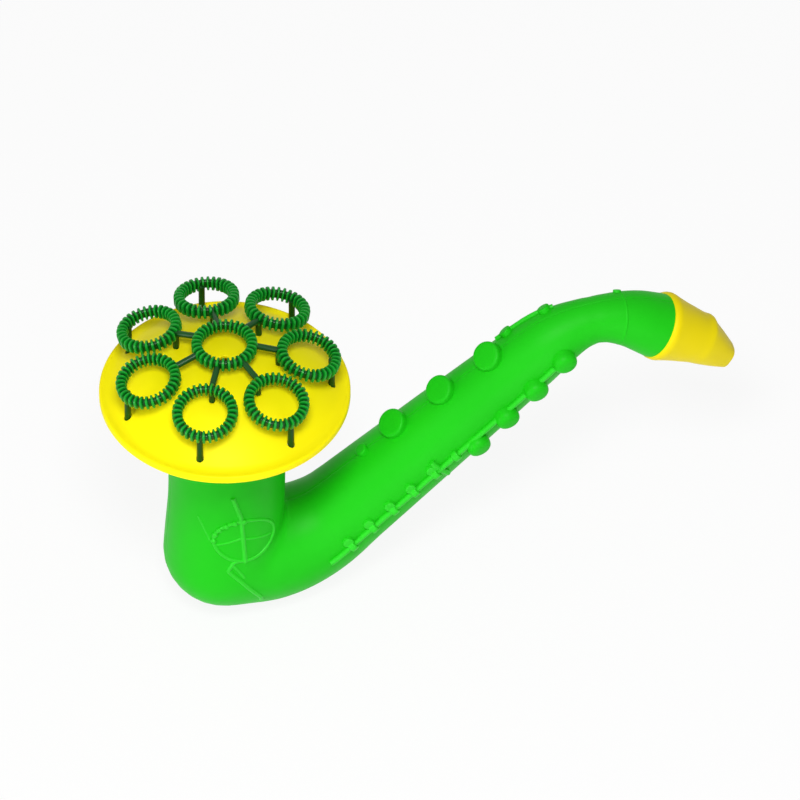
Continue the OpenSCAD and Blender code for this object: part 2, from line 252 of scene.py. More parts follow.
moulding = {  # what the plastics share: flow marks, and the skin's bump in metres
    "ior": 1.5, "flowScale": 1.7, "flowLow": 0.3, "flowHigh": 0.7, "bumpShare": 0.3, "skinDepth": 0.000008,
}
hornPlastic = {
    "name": "horn green plastic", "deep": (0.008, 0.48, 0.005), "bright": (0.013, 0.56, 0.008),
    "drift": 22, "specular": 0.12, "roughLow": 0.42, "roughHigh": 0.52, "skin": 700,
}
# painted highlight: a paler copy of the horn green for the raised lines, rod, collars, pads, lever, neck band
# and bell key, standing for light catching these raised parts of the same plastic
paintedHighlightPlastic = {
    "name": "horn green plastic, raised lines painted lighter", "deep": (0.015, 0.54, 0.011), "bright": (0.026, 0.63, 0.020),
    "drift": 22, "specular": 0.2, "roughLow": 0.34, "roughHigh": 0.44, "skin": 700,
}
# painted shade and painted highlight: deep is the dark of shaded rib grooves and bright the pale of lit rib
# crests, mixed by the crest mark
ringPlastic = {
    "name": "ring green plastic", "deep": (0.0004, 0.028, 0.002), "bright": (0.004, 0.32, 0.020),
    "drift": 70, "mark": "crest", "markShare": 0.8,
    "specular": 0.22, "roughLow": 0.26, "roughHigh": 0.36, "skin": 1400,
}
platePlastic = {
    "name": "plate yellow plastic", "deep": (0.95, 0.80, 0.002), "bright": (0.96, 0.87, 0.003),
    "drift": 20, "specular": 0.08, "roughLow": 0.40, "roughHigh": 0.48, "skin": 700,
}
mouthPlastic = {
    "name": "mouthpiece yellow plastic", "deep": (0.83, 0.66, 0.002), "bright": (0.87, 0.72, 0.004),
    "drift": 40, "specular": 0.1, "roughLow": 0.40, "roughHigh": 0.48, "skin": 900,
}


def mouldedPlastic(look):
    material = bpy.data.materials.new(look["name"])
    material.use_nodes = True
    tree = material.node_tree
    shader = tree.nodes["Principled BSDF"]
    shader.inputs["IOR"].default_value = moulding["ior"]
    shader.inputs["Specular IOR Level"].default_value = look["specular"]
    spot = addNode(tree, "ShaderNodeTexCoord").outputs["Object"]
    drift = addNode(tree, "ShaderNodeTexNoise", {"Vector": spot, "Scale": look["drift"], "Detail": 2.0})
    share = drift.outputs[0]
    if "mark" in look:  # painted shade and painted highlight: the grooves between the ribs are painted dark and the rib crests pale, where light would fall
        mark = addNode(tree, "ShaderNodeAttribute", attribute_name=look["mark"]).outputs["Fac"]
        share = sums(tree, "MULTIPLY", share, 1 - look["markShare"])
        share = sums(tree, "ADD", share, sums(tree, "MULTIPLY", mark, look["markShare"]))
    colour = addNode(tree, "ShaderNodeMix", {"Factor": share}, data_type="RGBA")
    colour.inputs[6].default_value = (*look["deep"], 1)
    colour.inputs[7].default_value = (*look["bright"], 1)
    tree.links.new(colour.outputs[2], shader.inputs["Base Color"])
    flow = addNode(tree, "ShaderNodeTexNoise", {
        "Vector": spot, "Scale": look["drift"] * moulding["flowScale"], "Detail": 3.0})
    gloss = addNode(tree, "ShaderNodeMapRange", {
        0: flow.outputs[0], 1: moulding["flowLow"], 2: moulding["flowHigh"],
        3: look["roughLow"], 4: look["roughHigh"]})
    tree.links.new(gloss.outputs[0], shader.inputs["Roughness"])
    skin = addNode(tree, "ShaderNodeTexNoise", {"Vector": spot, "Scale": look["skin"], "Detail": 2.0})
    bump = addNode(tree, "ShaderNodeBump", {
        "Height": skin.outputs[0], "Strength": moulding["bumpShare"], "Distance": moulding["skinDepth"]})
    tree.links.new(bump.outputs[0], shader.inputs["Normal"])
    return material


hornGreen = mouldedPlastic(hornPlastic)
paintedHighlightGreen = mouldedPlastic(paintedHighlightPlastic)
ringGreen = mouldedPlastic(ringPlastic)
plateYellow = mouldedPlastic(platePlastic)
mouthYellow = mouldedPlastic(mouthPlastic)
print("plastics mixed")


# Horn: a bell with a rounded heel, flowing into a tube along a bow, a straight run and a neck

horn = {
    "bellR": 25.0, "bellH": 86.0, "wall": 1.8,
    "waistR": 24.3, "waistH": 38.0, "waistShift": 0.9, "straightFrom": 68.0, "heelShift": -1.6,
    "heelPitch": -22.0, "tubePitch": 40.5, "neckPitch": -33.0,  # degrees
    "bowBendR": 47.0, "tubeRun": 118.0, "neckBendR": 36.0, "neckRun": 6.5,
    "neckLift": 0.7, "neckLiftLen": 11.0, "heelShare": 0.35,
    "heelTubeR": 24.2, "bowTubeR": 19.5, "midTubeR": 16.8, "topTubeR": 13.7, "neckR": 9.2, "neckEndR": 14.0,
    "ease": 7.0, "bellEase": 12.0, "bellSamples": 5, "blend": 3.0, "creaseR": 4.0,
    "shoulder": 2.5, "tenonR": 11.0, "tenonLen": 10.0, "tenonWall": 1.6, "tenonEdge": 0.6,
    "seamWidth": 0.45, "seamDepth": 0.2, "seamGap": 0.01,
    "bellRows": 26, "heelRows": 30, "tubeRows": 116, "columns": 62, "smooth": 32,
    "pathPoints": 1201, "pathStride": 8, "probes": 800, "wallSteps": 26,
}

bowLen = horn["bowBendR"] * math.radians(horn["tubePitch"] - horn["heelPitch"])
runEnd = bowLen + horn["tubeRun"]
neckEnd = runEnd + horn["neckBendR"] * math.radians(horn["tubePitch"] - horn["neckPitch"])
hornLen = neckEnd + horn["neckRun"]
pathS = np.linspace(0, hornLen, horn["pathPoints"])
pathPitch = np.radians(np.interp(pathS, [0, bowLen, runEnd, neckEnd], [
    horn["heelPitch"], horn["tubePitch"], horn["tubePitch"], horn["neckPitch"]]))


def running(slope):  # its integral along the path
    steps = (slope[1:] + slope[:-1]) / 2 * np.diff(pathS)
    return np.concatenate([[0], np.cumsum(steps)])


pathX, pathZ = running(np.cos(pathPitch)), running(np.sin(pathPitch))
neckRise = horn["neckLift"] * np.exp(-((pathS - (runEnd + neckEnd) / 2) / horn["neckLiftLen"]) ** 2)
pathX, pathZ = pathX - neckRise * np.sin(pathPitch), pathZ + neckRise * np.cos(pathPitch)
knots = [0, horn["heelShare"] * bowLen, bowLen, (bowLen + runEnd) / 2, runEnd,
         (runEnd + neckEnd) / 2, hornLen]
knotR = [horn[k] for k in ("heelTubeR", "heelTubeR", "bowTubeR", "midTubeR", "topTubeR", "neckR", "neckEndR")]
pathR = sum(share * np.interp(pathS + lag, knots, knotR)  # the radius, eased at its knots
            for share, lag in ((0.25, -horn["ease"]), (0.5, 0), (0.25, horn["ease"])))


def onPath(s):  # centre, pitch and radius of the tube at a distance along it
    return [np.interp(s, pathS, values) for values in (pathX, pathZ, pathPitch, pathR)]


def onTube(s, around, lift):  # point and outward direction, turned from the top to the near side
    x, z, pitch, r = onPath(s)
    a = math.radians(around)
    out = np.array([-math.sin(pitch) * math.cos(a), -math.sin(a), math.cos(pitch) * math.cos(a)])
    return np.array([x, 0, z]) + out * (r + lift), out


bellHeights = [0, horn["waistH"], horn["straightFrom"]]


def bellCentre(z):
    return np.interp(z, bellHeights, [horn["heelShift"], horn["waistShift"], 0])


def bellRadius(z):
    return np.interp(z, bellHeights, [horn["bellR"], horn["waistR"], horn["bellR"]])


def eased(rule, z):  # mean over a reach, so that the bell has no kinks
    lags = np.linspace(-horn["bellEase"], horn["bellEase"], horn["bellSamples"])
    return sum(rule(z + lag) for lag in lags) / len(lags)


def outsideGap(points):  # how far points lie outside the bell and tube, blended at the crease
    x, y, z = points.T
    height = np.maximum(z, 0)
    bell = np.sqrt((x - eased(bellCentre, height)) ** 2 + y ** 2 + (z - height) ** 2)
    bell -= eased(bellRadius, height)
    thin = slice(None, None, horn["pathStride"])
    near = np.sqrt((x[:, None] - pathX[thin]) ** 2 + y[:, None] ** 2 + (z[:, None] - pathZ[thin]) ** 2)
    tube = (near - pathR[thin]).min(axis=1)
    mix = np.maximum(horn["blend"] - np.abs(bell - tube), 0) / horn["blend"]
    return np.minimum(bell, tube) - mix ** 2 * horn["blend"] / 4


def toSurface(starts, ways, depth=0.0):  # from inside out to the wall, or short of it
    reach = np.zeros(len(starts))
    for _ in range(horn["wallSteps"]):
        reach -= outsideGap(starts + ways * reach[:, None]) + depth
    return starts + ways * reach[:, None]


def sections():  # planes across the horn: centres, and the way to the outside of the bend
    bellSide = horn["bellR"] + horn["creaseR"]
    heights = np.linspace(horn["bellH"], 0, horn["probes"])
    clear = np.sqrt((bellSide - pathX) ** 2 + (heights[:, None] - pathZ) ** 2) - pathR
    turnZ = heights[np.argmax(clear.min(axis=1) < horn["creaseR"])]
    pivot = np.array([bellSide, 0, turnZ])
    startS = pathS[np.argmin((pathX - pivot[0]) ** 2 + (pathZ - pivot[2]) ** 2)]
    centres, ways = [], []
    for height in np.linspace(horn["bellH"], turnZ, horn["bellRows"], endpoint=False):
        centres.append((eased(bellCentre, height), 0, height))
        ways.append((-1, 0, 0))
    pitch, r = onPath(startS)[2:]
    for t in np.linspace(0, 1, horn["heelRows"], endpoint=False):
        angle = math.pi + t * (math.pi / 2 + pitch)
        way = np.array([math.cos(angle), 0, math.sin(angle)])
        inside = pivot + way * (bellSide * (1 - t) + (horn["creaseR"] + r) * t)
        ends = toSurface(np.stack([inside, inside]), np.stack([way, -way]))
        centres.append(ends.mean(axis=0))
        ways.append(way)
    for s in np.linspace(startS, hornLen, horn["tubeRows"]):
        x, z, pitch = onPath(s)[:3]
        centres.append((x, 0, z))
        ways.append((math.sin(pitch), 0, -math.cos(pitch)))
    return np.array(centres, float), np.array(ways, float), startS


def halfShell():  # the near half: matched outer and inner rows, from the bell's rim to the tenon
    centres, ways, startS = sections()
    seam = horn["seamWidth"] / horn["topTubeR"]
    turns = np.concatenate([[0, seam], np.linspace(0, math.pi, horn["columns"])[1:-1],
                            [math.pi - seam, math.pi]])
    rowsIn, waysIn = centres.copy(), ways.copy()
    tube = slice(len(centres) - horn["tubeRows"], None)
    squeeze = np.linspace(startS, hornLen - horn["shoulder"], horn["tubeRows"])
    xIn, zIn, pitchIn = onPath(squeeze)[:3]
    rowsIn[tube, 0], rowsIn[tube, 2] = xIn, zIn
    waysIn[tube, 0], waysIn[tube, 2] = np.sin(pitchIn), -np.cos(pitchIn)

    def rowsOf(mids, downs, depth):
        across = (-downs[:, None, :] * np.cos(turns)[None, :, None]
                  + np.array([0, -1, 0])[None, None, :] * np.sin(turns)[None, :, None])
        starts = np.repeat(mids[:, None, :], len(turns), axis=1)
        found = toSurface(starts.reshape(-1, 3), across.reshape(-1, 3), depth)
        return found.reshape(len(mids), len(turns), 3), across

    outer, across = rowsOf(centres, ways, 0.0)
    outer[:, [0, -1]] -= across[:, [0, -1]] * horn["seamDepth"]
    inner = rowsOf(rowsIn, waysIn, horn["wall"])[0]
    x, z, pitch = onPath(hornLen)[:3]
    forward = np.array([math.cos(pitch), 0, math.sin(pitch)])

    def endRow(along, radius):
        return np.array([x, 0, z]) + forward * along + across[-1] * radius

    tip, bore = horn["tenonLen"], horn["tenonR"] - horn["tenonWall"]
    edge = horn["tenonEdge"]
    outerEnd = [endRow(0, horn["tenonR"]), endRow(tip - edge, horn["tenonR"]),
                endRow(tip, horn["tenonR"] - edge)]
    innerEnd = [endRow(-horn["shoulder"], bore), endRow(tip - edge, bore), endRow(tip, bore)]
    outer = np.concatenate([outer, outerEnd])
    inner = np.concatenate([inner, innerEnd])
    rows, columns = outer.shape[:2]
    points = np.concatenate([outer.reshape(-1, 3), inner.reshape(-1, 3)])
    skin = gridFaces(rows, columns, False, False)
    deep = rows * columns
    faces = skin + [tuple(k + deep for k in reversed(face)) for face in skin]
    for j in range(columns - 1):
        for i in (0, rows - 1):  # bell rim and tenon end
            a = i * columns + j
            faces.append((a, a + 1, deep + a + 1, deep + a))
    for i in range(rows - 1):
        for j in (0, columns - 1):  # parting faces
            a, b = i * columns + j, (i + 1) * columns + j
            faces.append((a, b, deep + b, deep + a))
    return points, faces


# Keys: turns are degrees from the top to the near side, distances run along the tube

keys = {
    "topFirst": 48.2, "topGap": 25.5, "topR": 6.3, "topH": 4.0,
    "topTurns": (-3.0, -0.5, 2.0), "topFacing": 17.0,
    "smallBefore": 18.0, "endBefore": 8.5, "endAfter": 8.0, "endTurn": -28.0, "smallR": 2.8, "smallH": 2.0,
    "sideAngle": 95.0, "cupCount": 4, "cupAfter": 5.2, "cupGap": 17.7, "cupTurn": 98.0, "cupTurnStep": 3.7,
    "cupR": 5.3, "cupH": 4.6, "cupSoft": 0.6,
    "rodBefore": 11.0, "rodR": 1.25, "rodPoints": 60,
    "collarCount": 6, "collarFirst": 0.7, "collarGap": 12.0, "collarR": 2.4, "collarW": 3.0,
    "padCount": 5, "padTurn": 8.5, "padR": 2.3, "padH": 1.5,
    "leverAt": 51.5, "leverFrom": 76.0, "leverTo": 115.0, "leverR": 1.3, "leverLift": 0.5, "leverPoints": 16,
    "octaveFrom": -14.0, "octaveTo": 11.0, "octaveTurn": 31.0, "octaveR": 1.1, "octaveLift": 0.3,
    "octavePoints": 24, "nubBack": 13.0, "nubTurn": 36.0, "nubR": 1.7, "nubH": 1.0,
    "bandBack": 12.1, "bandR": 0.8, "bandH": 0.32, "bandPoints": 72,
    "softness": 0.26, "barSides": 14,
}


def mouldedDrums(name, places, outs, sizes, material, softness=keys["softness"]):  # half sizes
    marked = seed(name, places, out=outs, size=np.array(sizes) * mm)
    return grow(marked, drums, Softness=softness, Material=material)


def keyDrums(name, material, spots, softness=keys["softness"], facing=0.0):
    # a spot is (distance along, turn, radius, half height)
    places = [onTube(s, around, 0)[0] for s, around, radius, height in spots]
    outs = [onTube(s, around + facing, 0)[1] for s, around, radius, height in spots]
    sizes = [(radius, radius, height) for s, around, radius, height in spots]
    return mouldedDrums(name, places, outs, sizes, material, softness)


def barLine(name, points, radius, material, closed=False, sides=keys["barSides"]):
    count = len(points)
    edges = [(k, (k + 1) % count) for k in range(count if closed else count - 1)]
    piece = newPiece(name, points, [], edges=edges)
    return grow(piece, bars, Radius=radius * mm, Sides=sides, Material=material)


def topKeyDrums(material, side):  # they face a little to the near side, on either half
    first = bowLen + keys["topFirst"]
    spots = [(first + k * keys["topGap"], -side * turn, keys["topR"], keys["topH"])
             for k, turn in enumerate(keys["topTurns"])]
    yield keyDrums("topKeys", material, spots, facing=-side * keys["topFacing"])
    small = [(first - keys["smallBefore"], 0, keys["smallR"], keys["smallH"])]
    if side > 0:
        for s in (runEnd - keys["endBefore"], runEnd + keys["endAfter"]):
            small.append((s, -side * keys["endTurn"], keys["smallR"], keys["smallH"]))
    yield keyDrums("smallKeys", material, small)


def neckBand(material):
    turns = np.linspace(0, 360, keys["bandPoints"], endpoint=False)
    line = [onTube(neckEnd - keys["bandBack"], turn, keys["bandH"] - keys["bandR"])[0] for turn in turns]
    return barLine("neckBand", line, keys["bandR"], material, closed=True)


def sideKeys(material):
    cups = [(runEnd + keys["cupAfter"] - k * keys["cupGap"], keys["cupTurn"] + k * keys["cupTurnStep"],
             keys["cupR"], keys["cupH"]) for k in range(keys["cupCount"])]
    yield keyDrums("sideCups", hornGreen, cups, keys["cupSoft"])

    def onRod(s):
        return onTube(s, keys["sideAngle"], keys["rodR"] / 2)[0]

    run = np.linspace(bowLen - keys["rodBefore"], runEnd, keys["rodPoints"])
    yield barLine("sideRod", [onRod(s) for s in run], keys["rodR"], material)
    collars = [bowLen + keys["collarFirst"] + k * keys["collarGap"] for k in range(keys["collarCount"])]
    ahead = [onRod(s + 1) - onRod(s) for s in collars]
    sizes = [(keys["collarR"], keys["collarR"], keys["collarW"] / 2)] * keys["collarCount"]
    yield mouldedDrums("rodCollars", [onRod(s) for s in collars], ahead, sizes, material)
    pads = [(s, keys["sideAngle"] - keys["padTurn"], keys["padR"], keys["padH"])
            for s in collars[:keys["padCount"]]]
    yield keyDrums("rodPads", material, pads)
    turns = np.linspace(keys["leverFrom"], keys["leverTo"], keys["leverPoints"])
    lever = [onTube(bowLen + keys["leverAt"], turn, keys["leverLift"])[0] for turn in turns]
    yield barLine("sideLever", lever, keys["leverR"], material)


def octaveKey(material):  # low bar and nub near the neck, for the far half before it is mirrored
    run = np.linspace(runEnd + keys["octaveFrom"], runEnd + keys["octaveTo"], keys["octavePoints"])
    line = [onTube(s, keys["octaveTurn"], keys["octaveLift"])[0] for s in run]
    yield barLine("octaveBar", line, keys["octaveR"], material)
    nub = (neckEnd - keys["nubBack"], keys["nubTurn"], keys["nubR"], keys["nubH"])
    yield keyDrums("bandNub", material, [nub])


# Round key on the bell: thin raised lines on its near side

relief = {  # places are (across, height) on the bell's near side
    "ringAt": (2.6, 25.8), "ringAcross": 13.6, "ringUp": 11.4, "ringLean": -22.0, "ringR": 0.85,
    "ringPoints": 64, "sink": 0.2, "spacing": 0.8, "sides": 12, "startY": -60.0, "wallSteps": 60,
    "beadFrom": 112.0, "beadTo": 200.0, "beads": 6, "beadR": 1.25, "beadSoft": 0.8,
    "bar": [(-2.9, 52.5), (0.6, 39.4), (1.3, 28.2), (2.2, 13.5)], "barR": 1.1,
    "cross": [(-9.5, 24.6), (0.0, 27.6), (14.0, 23.4)], "crossR": 0.6,
    "lever": [(-0.4, 14.8), (-2.7, 14.3), (-5.2, 9.7), (0.4, 2.5), (9.3, -10.7), (9.8, -13.5)],
    "leverR": 0.95,
    "branch": [(-3.4, 13.2), (1.7, 4.5)], "branchR": 0.7,
    "guard": [(-16.2, 39.0), (-12.0, 26.8)], "guardR": 0.55,
}


def onBell(flat):  # points of the flat pattern, carried straight in to the bell's near side
    flat = np.asarray(flat, float)
    points = np.stack([flat[:, 0], np.full(len(flat), relief["startY"]), flat[:, 1]], axis=1)
    for _ in range(relief["wallSteps"]):
        points[:, 1] += outsideGap(points)
    return points


def reliefLine(name, corners, radius, material, closed=False):
    corners = np.array(corners + corners[:1] if closed else corners, float)
    lengths = np.concatenate([[0], np.cumsum(np.linalg.norm(np.diff(corners, axis=0), axis=1))])
    even = np.linspace(0, lengths[-1], max(4, int(lengths[-1] / relief["spacing"])))
    if closed:
        even = even[:-1]
    flat = np.stack([np.interp(even, lengths, corners[:, k]) for k in (0, 1)], axis=1)
    line = onBell(flat) + np.array([0, relief["sink"], 0])
    return barLine(name, line, radius, material, closed, relief["sides"])


def bellKey(material):
    lean = math.radians(relief["ringLean"])

    def onRing(turns):
        a, b = relief["ringAcross"] * np.cos(turns), relief["ringUp"] * np.sin(turns)
        spots = np.stack([a * math.cos(lean) - b * math.sin(lean),
                          a * math.sin(lean) + b * math.cos(lean)], axis=1)
        return (spots + np.array(relief["ringAt"])).tolist()

    circle = onRing(np.linspace(0, 2 * math.pi, relief["ringPoints"], endpoint=False))
    yield reliefLine("bellKeyRing", circle, relief["ringR"], material, closed=True)
    for part in ("bar", "cross", "lever", "branch", "guard"):
        yield reliefLine("bellKey" + part.title(), relief[part], relief[part + "R"], material)
    turns = np.radians(np.linspace(relief["beadFrom"], relief["beadTo"], relief["beads"]))
    places = onBell(onRing(turns))
    outs = places * np.array([1, 1, 0])
    sizes = [[relief["beadR"]] * 3] * relief["beads"]
    yield mouldedDrums("bellKeyBeads", places, outs, sizes, material, relief["beadSoft"])


# The two halves: shell and keys joined, then cut on the parting plane

boxReach = 400.0  # past the horn on every side


def sideBox(side):  # everything past the parting plane on the other side
    low, high = (-horn["seamGap"], boxReach) if side < 0 else (-boxReach, horn["seamGap"])
    work = bmesh.new()
    bmesh.ops.create_cube(work, size=1)
    for vert in work.verts:
        y = low if vert.co.y < 0 else high
        vert.co = (vert.co.x * 2 * boxReach, y, vert.co.z * 2 * boxReach)
    points = [vert.co[:] for vert in work.verts]
    faces = [[vert.index for vert in face.verts] for face in work.faces]
    work.free()
    piece = newPiece("partingBox", points, faces)
    faceOutwards(piece)
    return piece


def buildHalf(name, side, points, faces, extras):
    points = points * np.array([1, -side, 1])
    piece = newPiece(name, points, faces, hornGreen)
    faceOutwards(piece)
    for extra in extras:
        if side > 0:
            extra.data.transform(Matrix.Diagonal((1, -1, 1, 1)))
            extra.data.flip_normals()
        combine(piece, extra, "UNION")
    combine(piece, sideBox(side), "DIFFERENCE")
    smoothShade(piece, horn["smooth"])
    print(name, "faces:", len(piece.data.polygons))
    return piece


shellPoints, shellFaces = halfShell()
print("shell rows laid out:", len(shellPoints), "points")
nearExtras = [*topKeyDrums(hornGreen, -1), neckBand(paintedHighlightGreen),
              *sideKeys(paintedHighlightGreen), *bellKey(paintedHighlightGreen)]
nearHalf = buildHalf("hornHalfNear", -1, shellPoints, shellFaces, nearExtras)
farExtras = [*topKeyDrums(hornGreen, 1), neckBand(paintedHighlightGreen),
             *sideKeys(paintedHighlightGreen), *octaveKey(paintedHighlightGreen)]
farHalf = buildHalf("hornHalfFar", 1, shellPoints, shellFaces, farExtras)


# Plate: a turned dome with a brim and a spigot

plate = {
    "r": 52.5, "domeH": 18.0, "brimW": 4.0, "brimRise": 6.4, "thick": 1.8, "lipH": 0.4,
    "skirt": 1.4, "skirtLean": 0.3, "spigotLen": 12.0, "outletR": 1.9, "pushGap": 0.25, "legGap": 0.3,
    "socketBelow": 6.0, "socketAbove": 12.0, "socketSides": 32, "around": 160, "smooth": 32,
    "domeSteps": 28, "underSteps": 16, "roofSteps": 10, "filletSteps": 6,
    # how far plain dome points keep from the corners beside them
    "outletClear": 3.0, "brimClear": 4.0, "baseClear": 2.0, "seatClear": 1.2,
    "spigotClear": 1.5, "roofClear": 1.0,
    "outletFillet": 0.5, "lipFillet": 7.0, "edgeFillet": 1.0, "skirtFillet": 0.8, "skirtInFillet": 0.6,
    "baseFillet": 0.5, "seatFillet": 0.4, "ledgeFillet": 0.3, "spigotFillet": 0.5,
}
brimZ = horn["bellH"] + plate["brimRise"]
domeBaseR = plate["r"] - plate["brimW"]
domeR = (domeBaseR ** 2 + plate["domeH"] ** 2) / (2 * plate["domeH"])
domeMidZ = brimZ + plate["domeH"] - domeR
spigotR = horn["bellR"] - horn["wall"] - plate["pushGap"]


def domeZ(r, radius=domeR):
    return domeMidZ + math.sqrt(radius ** 2 - r ** 2)


def turnedSkin(name, outline, material):
    angles = np.linspace(0, 2 * math.pi, plate["around"], endpoint=False)
    points = [(r * math.cos(a), r * math.sin(a), z) for r, z in outline for a in angles]
    piece = newPiece(name, points, gridFaces(len(outline), plate["around"]), material)
    faceOutwards(piece)
    return piece


def plateOutline():  # over the dome and brim, back below them and round the spigot
    t, under, outletR = plate["thick"], domeR - plate["thick"], plate["outletR"]
    lipZ, underZ = brimZ + plate["lipH"], brimZ - t
    skirtZ = underZ - plate["skirt"]
    underBaseR = math.sqrt(under ** 2 - (underZ - domeMidZ) ** 2)
    seatR, seatZ = horn["bellR"], horn["bellH"]
    spigotZ, spigotIn = seatZ - plate["spigotLen"], spigotR - t

    def domeLine(fromR, toR, steps, radius):
        return [(r, domeZ(r, radius), 0) for r in np.linspace(fromR, toR, steps)]

    corners = [
        (outletR, domeZ(outletR), plate["outletFillet"]),
        *domeLine(outletR + plate["outletClear"], domeBaseR - plate["brimClear"], plate["domeSteps"], domeR),
        (domeBaseR, lipZ, plate["lipFillet"]),
        (plate["r"], lipZ, plate["edgeFillet"]),
        (plate["r"], skirtZ, plate["skirtFillet"]),
        (plate["r"] - t, skirtZ, plate["skirtInFillet"]),
        (plate["r"] - t - plate["skirtLean"], underZ, plate["skirtFillet"]),
        (underBaseR, underZ, plate["baseFillet"]),
        *domeLine(underBaseR - plate["baseClear"], seatR + plate["seatClear"], plate["underSteps"], under),
        (seatR, domeZ(seatR, under), plate["seatFillet"]),
        (seatR, seatZ, plate["ledgeFillet"]),
        (spigotR, seatZ, 0),
        (spigotR, spigotZ, plate["spigotFillet"]),
        (spigotIn, spigotZ, plate["spigotFillet"]),
        (spigotIn, domeZ(spigotIn, under), plate["seatFillet"]),
        *domeLine(spigotIn - plate["spigotClear"], outletR + plate["roofClear"], plate["roofSteps"], under),
        (outletR, domeZ(outletR, under), plate["ledgeFillet"]),
    ]
    return roundedLine(corners, plate["filletSteps"])


# Ring head: ribbed rings on spokes, and legs that stand on the dome or in its sockets

ringHead = {
    "r": 13.8, "w": 4.4, "h": 5.8, "corner": 1.8, "groove": 1.15, "ribs": 32, "steps": 12, "sharpness": 1.2,
    "pitchR": 35.0, "rise": 20.0, "centreRise": 26.0, "tilt": 14.0, "count": 7, "phase": -117.5,
    "legR": 1.35, "innerShift": 0.85, "outerShift": 2.0, "foot": 4.0, "barSides": 24, "smooth": 40,
}
ringMidR = ringHead["r"] - ringHead["w"] / 2
tilt = math.radians(ringHead["tilt"])
ringAngles = [math.radians(ringHead["phase"] + k * 360 / ringHead["count"]) for k in range(ringHead["count"])]
outerLegR = ringHead["pitchR"] + ringMidR - ringHead["outerShift"]
innerLegR = ringHead["pitchR"] - ringMidR - ringHead["innerShift"]


def swung(angle, r, z):
    return (r * math.cos(angle), r * math.sin(angle), z)


def headBars():  # spokes and legs as lines from one end to the other
    ringZ, reach = brimZ + ringHead["rise"], math.tan(tilt)
    spokeR, spokeZ = ringHead["pitchR"] - ringMidR * math.cos(tilt), ringZ + ringMidR * math.sin(tilt)
    for angle in ringAngles:
        yield [swung(angle, ringMidR, brimZ + ringHead["centreRise"]), swung(angle, spokeR, spokeZ)]
        yield [swung(angle, innerLegR, domeZ(innerLegR - ringHead["legR"]) + plate["legGap"]),
               swung(angle, innerLegR, ringZ + (ringHead["pitchR"] - innerLegR) * reach)]
        yield [swung(angle, outerLegR, domeZ(outerLegR) - ringHead["foot"]),
               swung(angle, outerLegR, ringZ - (outerLegR - ringHead["pitchR"]) * reach)]


def buildPlate():
    piece = turnedSkin("domedPlate", plateOutline(), plateYellow)
    for angle in ringAngles:
        line = [swung(angle, outerLegR, brimZ - plate["socketBelow"]),
                swung(angle, outerLegR, brimZ + plate["socketAbove"])]
        hole = barLine("legSocket", line, ringHead["legR"] + plate["legGap"], plateYellow,
                       sides=plate["socketSides"])
        combine(piece, hole, "DIFFERENCE")
    smoothShade(piece, plate["smooth"])
    print("domed plate faces:", len(piece.data.polygons))
    return piece


def buildRings():
    places = [(0, 0, brimZ + ringHead["centreRise"])]
    outs = [(0, 0, 1)]
    for angle in ringAngles:
        places.append(swung(angle, ringHead["pitchR"], brimZ + ringHead["rise"]))
        outs.append(swung(angle, math.sin(tilt), math.cos(tilt)))
    piece = grow(seed("bubbleRingHead", places, out=outs), rings, Radius=ringMidR * mm,
                 Width=ringHead["w"] * mm, Height=ringHead["h"] * mm, Corner=ringHead["corner"] * mm,
                 Ribs=ringHead["ribs"], Steps=ringHead["steps"], Groove=ringHead["groove"] * mm,
                 Sharpness=ringHead["sharpness"], Material=ringGreen)
    faceOutwards(piece)
    for line in headBars():
        bar = barLine("headBar", line, ringHead["legR"], ringGreen, sides=ringHead["barSides"])
        combine(piece, bar, "UNION")
    smoothShade(piece, ringHead["smooth"])
    print("ring head faces:", len(piece.data.polygons))
    return piece


domedPlate = buildPlate()
bubbleRings = buildRings()


# Mouthpiece: rows lofted along the neck's end, from the rim to the tip and back through the bore

mouth = {  # rows are (distance along, drop to the underside, half height, half width)
    "rim": [(0.5, 0, 11.25, 11.25), (0.0, 0, 11.75, 11.75), (0.0, -0.1, 13.8, 13.8), (0.15, -0.1, 14.1, 14.1),
            (0.6, -0.2, 14.4, 14.4), (1.4, -0.35, 14.65, 14.65), (2.4, -0.4, 14.75, 14.75),
            (3.4, -0.4, 14.6, 14.6)],
    "shank": [(4.5, -0.4, 14.3, 14.3), (6.5, -0.35, 13.8, 13.8), (9.5, -0.3, 13.1, 13.1),
              (12.5, -0.25, 12.55, 12.5), (15.5, -0.2, 12.0, 12.0), (18.0, -0.15, 11.55, 11.5),
              (20.0, -0.1, 11.2, 11.1), (21.5, -0.05, 11.05, 10.95), (23.0, 0.0, 10.9, 10.8)],
    "beakRows": 16, "beakEnd": (38.9, 3.75, 5.3, 5.3), "beakPower": 1.08,
    "tip": [(39.35, 3.8, 5.1, 5.1), (39.5, 3.75, 4.7, 4.7), (39.55, 3.5, 3.6, 3.7), (39.55, 3.4, 2.9, 2.9),
            (39.45, 3.4, 2.6, 2.6), (39.0, 3.4, 2.5, 2.5)],
    "square": 0.3, "squareFrom": 3.6,  # the beak squares off towards the tip, but no row this slim does
    "bore": [(20.5, 3.4, 2.5, 2.5), (10.5, 3.4, 6.25, 6.25), (10.5, 0.0, 11.25, 11.25)],
    "restAt": 23.8, "restLen": 1.9, "restH": 0.75, "restPower": 3,  # ridge on the top, where the teeth rest
    "around": 96, "smooth": 32,
}


